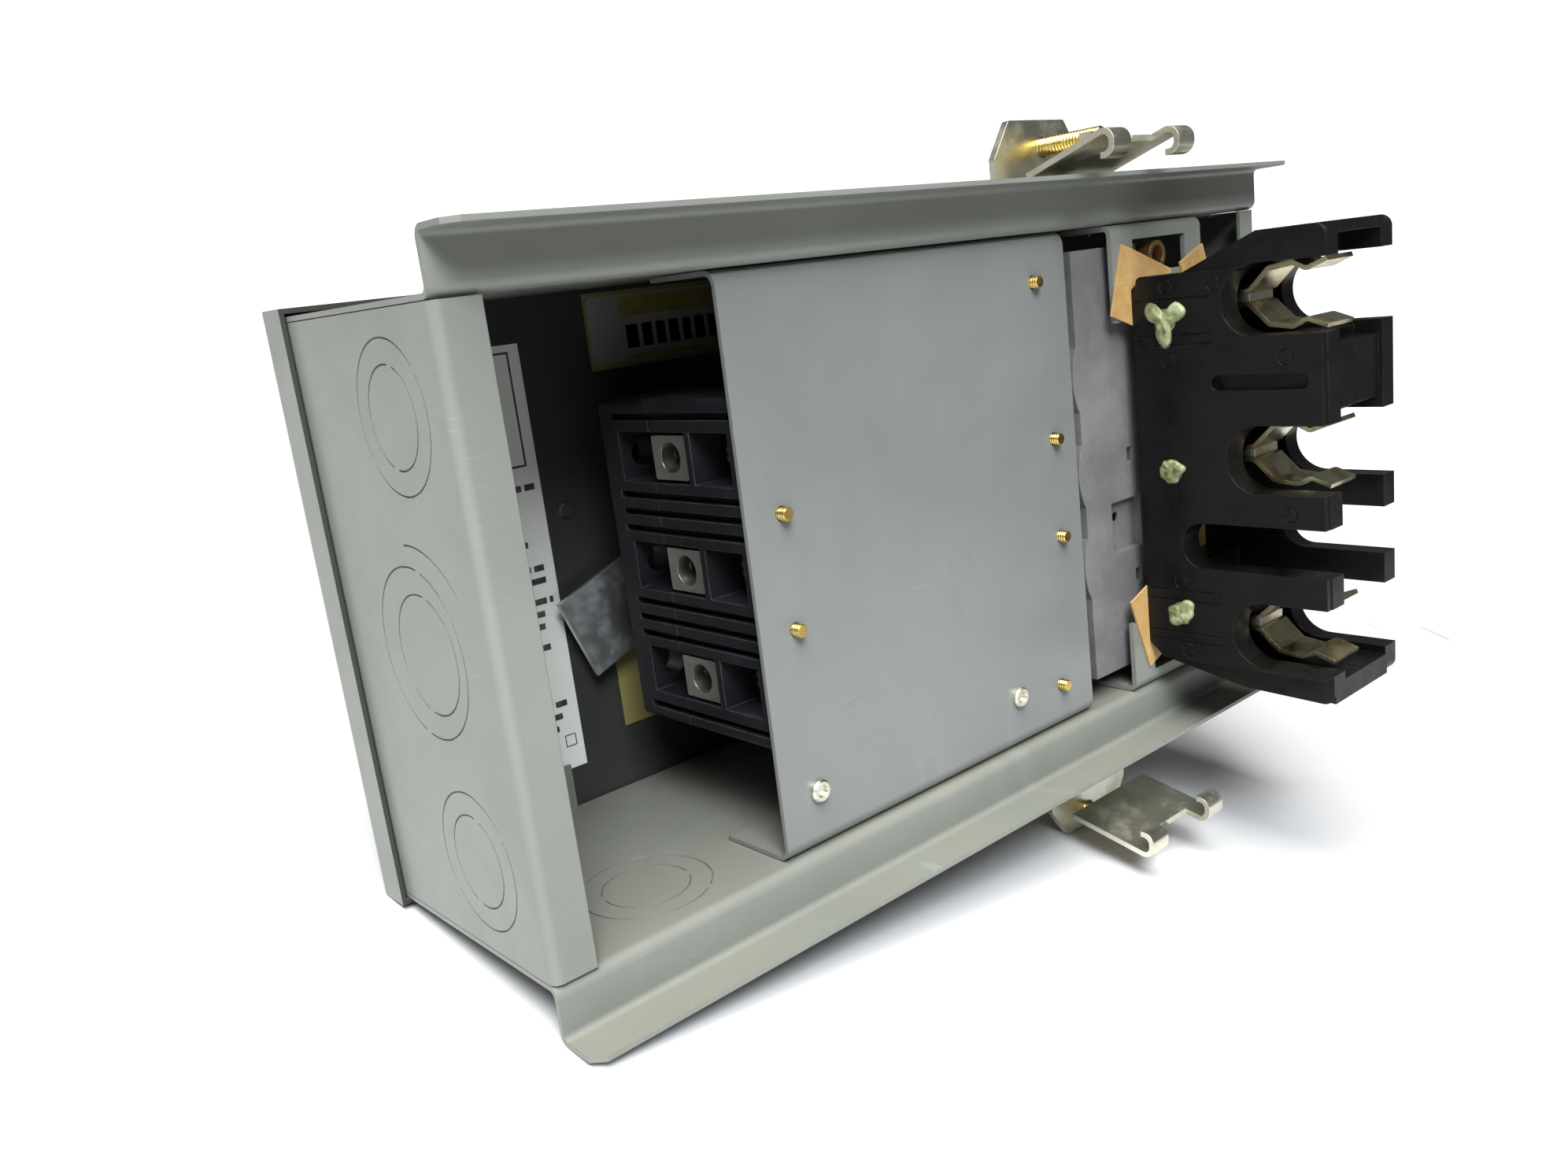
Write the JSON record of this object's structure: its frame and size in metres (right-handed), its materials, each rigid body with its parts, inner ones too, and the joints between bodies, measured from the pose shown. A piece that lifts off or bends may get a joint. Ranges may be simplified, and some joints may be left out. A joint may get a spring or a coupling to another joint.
{
  "type": "busway plug-in breaker enclosure",
  "caption": "Grey sheet steel plug-in enclosure with hinged cover, moulded breaker on a pan, black jaw base with sprung bus jaws, screw-driven hooks and concentric knockouts.",
  "frame": {"origin": "centre of the open rim, in the plane where the enclosure meets the busway", "axes": "+X from the knockout end wall to the jaw end along the longest side, +Y from the open rim into the enclosure to the front cover, +Z from the lower long side to the upper one"},
  "size_m": [0.364, 0.189, 0.2629],
  "materials": {
    "enclosure_paint": "satin grey baked enamel",
    "pan_paint": "satin grey baked enamel",
    "steel": "plain steel",
    "zinc_plate": "bright zinc plate",
    "yellow_zinc": "yellow chromate zinc plate",
    "brass": "plain brass",
    "galvanised": "dull galvanised",
    "white_label": null,
    "yellow_label": null,
    "handle_black": "black moulded lever",
    "breaker_moulding": "dark blue-black moulded case",
    "toggle_black": "black moulding",
    "trip_red": "red button",
    "copper": "bare copper",
    "tinned_copper": "tin-plated copper",
    "plated_copper": "tarnished tin-plated copper",
    "tin_plate": "tin-plated aluminium",
    "shield_grey": "grained grey moulding",
    "fibre_sheet": "tan fibre sheet",
    "jaw_phenolic": "black phenolic moulding",
    "sealant": "cured greenish sealant"
  },
  "bodies": {
    "enclosure": {"upper_side_wall": "enclosure_paint", "lower_side_wall": "enclosure_paint", "knockout_end_wall": "enclosure_paint", "jaw_end_wall": "enclosure_paint", "hinge_fixed_leaves": "enclosure_paint", "hinge_pins": "steel", "rivets": "steel", "operator_frame": "galvanised", "operator_screws": "zinc_plate", "breaker_pan": "pan_paint", "clinch_nuts": "zinc_plate", "pan_screws": "yellow_zinc", "breaker_base": "breaker_moulding", "breaker_cover": "breaker_moulding", "mechanism_frame": "steel", "fixed_contacts": "copper", "arc_chutes": "steel", "bimetal_strips": "copper", "load_lugs": "tin_plate", "terminal_screws": "brass", "line_shield": "shield_grey", "jaw_support_bracket": "enclosure_paint", "bracket_bushings": "brass", "insulating_sheet": "fibre_sheet", "jaw_base_near": "jaw_phenolic", "jaw_base_far": "jaw_phenolic", "jaw_base_screws": "zinc_plate", "sealant_blobs": "sealant", "jaw_fingers_upper": "plated_copper", "jaw_fingers_middle": "plated_copper", "jaw_fingers_lower": "plated_copper", "line_straps": "tinned_copper", "hook_brackets": "zinc_plate"},
    "cover": {"front_cover": "enclosure_paint", "hinge_cover_leaves": "enclosure_paint", "instruction_label": "white_label", "upper_sticker": "yellow_label", "lower_sticker": "yellow_label", "handle_bushing": "brass"},
    "cover_screw_left": {"cover_screw_left": "zinc_plate"},
    "cover_screw_right": {"cover_screw_right": "zinc_plate"},
    "handle": {"operating_handle": "handle_black", "handle_shaft": "steel", "crank_arm": "galvanised"},
    "yoke": {"operator_yoke": "galvanised"},
    "toggle": {"breaker_toggle": "toggle_black"},
    "contacts": {"crossbar": "toggle_black", "contact_arms": "copper"},
    "trip_button": {"trip_button": "trip_red"},
    "trip_bar": {"trip_bar": "toggle_black"},
    "lug_screw_upper": {"lug_screw_upper": "tin_plate"},
    "lug_screw_middle": {"lug_screw_middle": "tin_plate"},
    "lug_screw_lower": {"lug_screw_lower": "tin_plate"},
    "upper_hook": {"upper_hook": "zinc_plate"},
    "lower_hook": {"lower_hook": "zinc_plate"},
    "upper_hook_screw": {"upper_hook_screw": "yellow_zinc"},
    "lower_hook_screw": {"lower_hook_screw": "yellow_zinc"}
  },
  "joints": [
    {"name": "cover_swing", "type": "hinge", "parent": "enclosure", "child": "cover", "pos_m": [0, 0.0865, 0.0919], "axis": [1, 0, 0], "range_deg": [0, 110]},
    {"name": "cover_screw_left_turn", "type": "hinge", "parent": "cover", "child": "cover_screw_left", "pos_m": [-0.12, 0.104, -0.0795], "axis": [0, 1, 0], "continuous": true},
    {"name": "cover_screw_right_turn", "type": "hinge", "parent": "cover", "child": "cover_screw_right", "pos_m": [0.12, 0.104, -0.0795], "axis": [0, 1, 0], "continuous": true},
    {"name": "handle_turn", "type": "hinge", "parent": "cover", "child": "handle", "pos_m": [-0.03, 0.104, 0], "axis": [0, 1, 0], "range_deg": [0, 50]},
    {"name": "yoke_slide", "type": "slide", "parent": "enclosure", "child": "yoke", "axis": [1, 0, 0], "range_m": [0, 0.01641]},
    {"name": "toggle_tilt", "type": "hinge", "parent": "enclosure", "child": "toggle", "pos_m": [-0.019, 0.062, 0], "axis": [0, 0, -1], "range_deg": [0, 40.01]},
    {"name": "contacts_swing", "type": "hinge", "parent": "enclosure", "child": "contacts", "pos_m": [-0.03, 0.034, 0], "axis": [0, 0, -1], "range_deg": [0, 18.01]},
    {"name": "trip_press", "type": "slide", "parent": "enclosure", "child": "trip_button", "axis": [0, -1, 0], "range_m": [0, 0.0025], "stiffness_N_per_m": 250},
    {"name": "trip_bar_turn", "type": "hinge", "parent": "enclosure", "child": "trip_bar", "pos_m": [-0.05, 0.058, 0], "axis": [0, 0, 1], "range_deg": [0, 8.01]},
    {"name": "lug_screw_upper_turn", "type": "hinge", "parent": "enclosure", "child": "lug_screw_upper", "pos_m": [-0.0865, 0.047, 0.0349], "axis": [0, 1, 0], "continuous": true},
    {"name": "lug_screw_middle_turn", "type": "hinge", "parent": "enclosure", "child": "lug_screw_middle", "pos_m": [-0.0865, 0.047, 0], "axis": [0, 1, 0], "continuous": true},
    {"name": "lug_screw_lower_turn", "type": "hinge", "parent": "enclosure", "child": "lug_screw_lower", "pos_m": [-0.0865, 0.047, -0.0349], "axis": [0, 1, 0], "continuous": true},
    {"name": "upper_hook_slide", "type": "slide", "parent": "enclosure", "child": "upper_hook", "axis": [0, 1, 0], "range_m": [0, 0.00762]},
    {"name": "upper_hook_screw_turn", "type": "hinge", "parent": "enclosure", "child": "upper_hook_screw", "pos_m": [0.0615, 0.016, 0.116], "axis": [0, -1, 0], "range_deg": [0, 2160.5]},
    {"name": "lower_hook_slide", "type": "slide", "parent": "enclosure", "child": "lower_hook", "axis": [0, 1, 0], "range_m": [0, 0.00762]},
    {"name": "lower_hook_screw_turn", "type": "hinge", "parent": "enclosure", "child": "lower_hook_screw", "pos_m": [0.0615, 0.016, -0.1315], "axis": [0, -1, 0], "range_deg": [0, 2160.5]}
  ],
  "couplings": [
    {"joint": "yoke_slide", "follows": "handle_turn", "m_per_rad": 0.01879},
    {"joint": "toggle_tilt", "follows": "handle_turn", "ratio": 0.8},
    {"joint": "contacts_swing", "follows": "handle_turn", "ratio": 0.36},
    {"joint": "trip_bar_turn", "follows": "trip_press", "rad_per_m": 55.85},
    {"joint": "upper_hook_screw_turn", "follows": "upper_hook_slide", "rad_per_m": 4947.4},
    {"joint": "lower_hook_screw_turn", "follows": "lower_hook_slide", "rad_per_m": 4947.4}
  ]
}
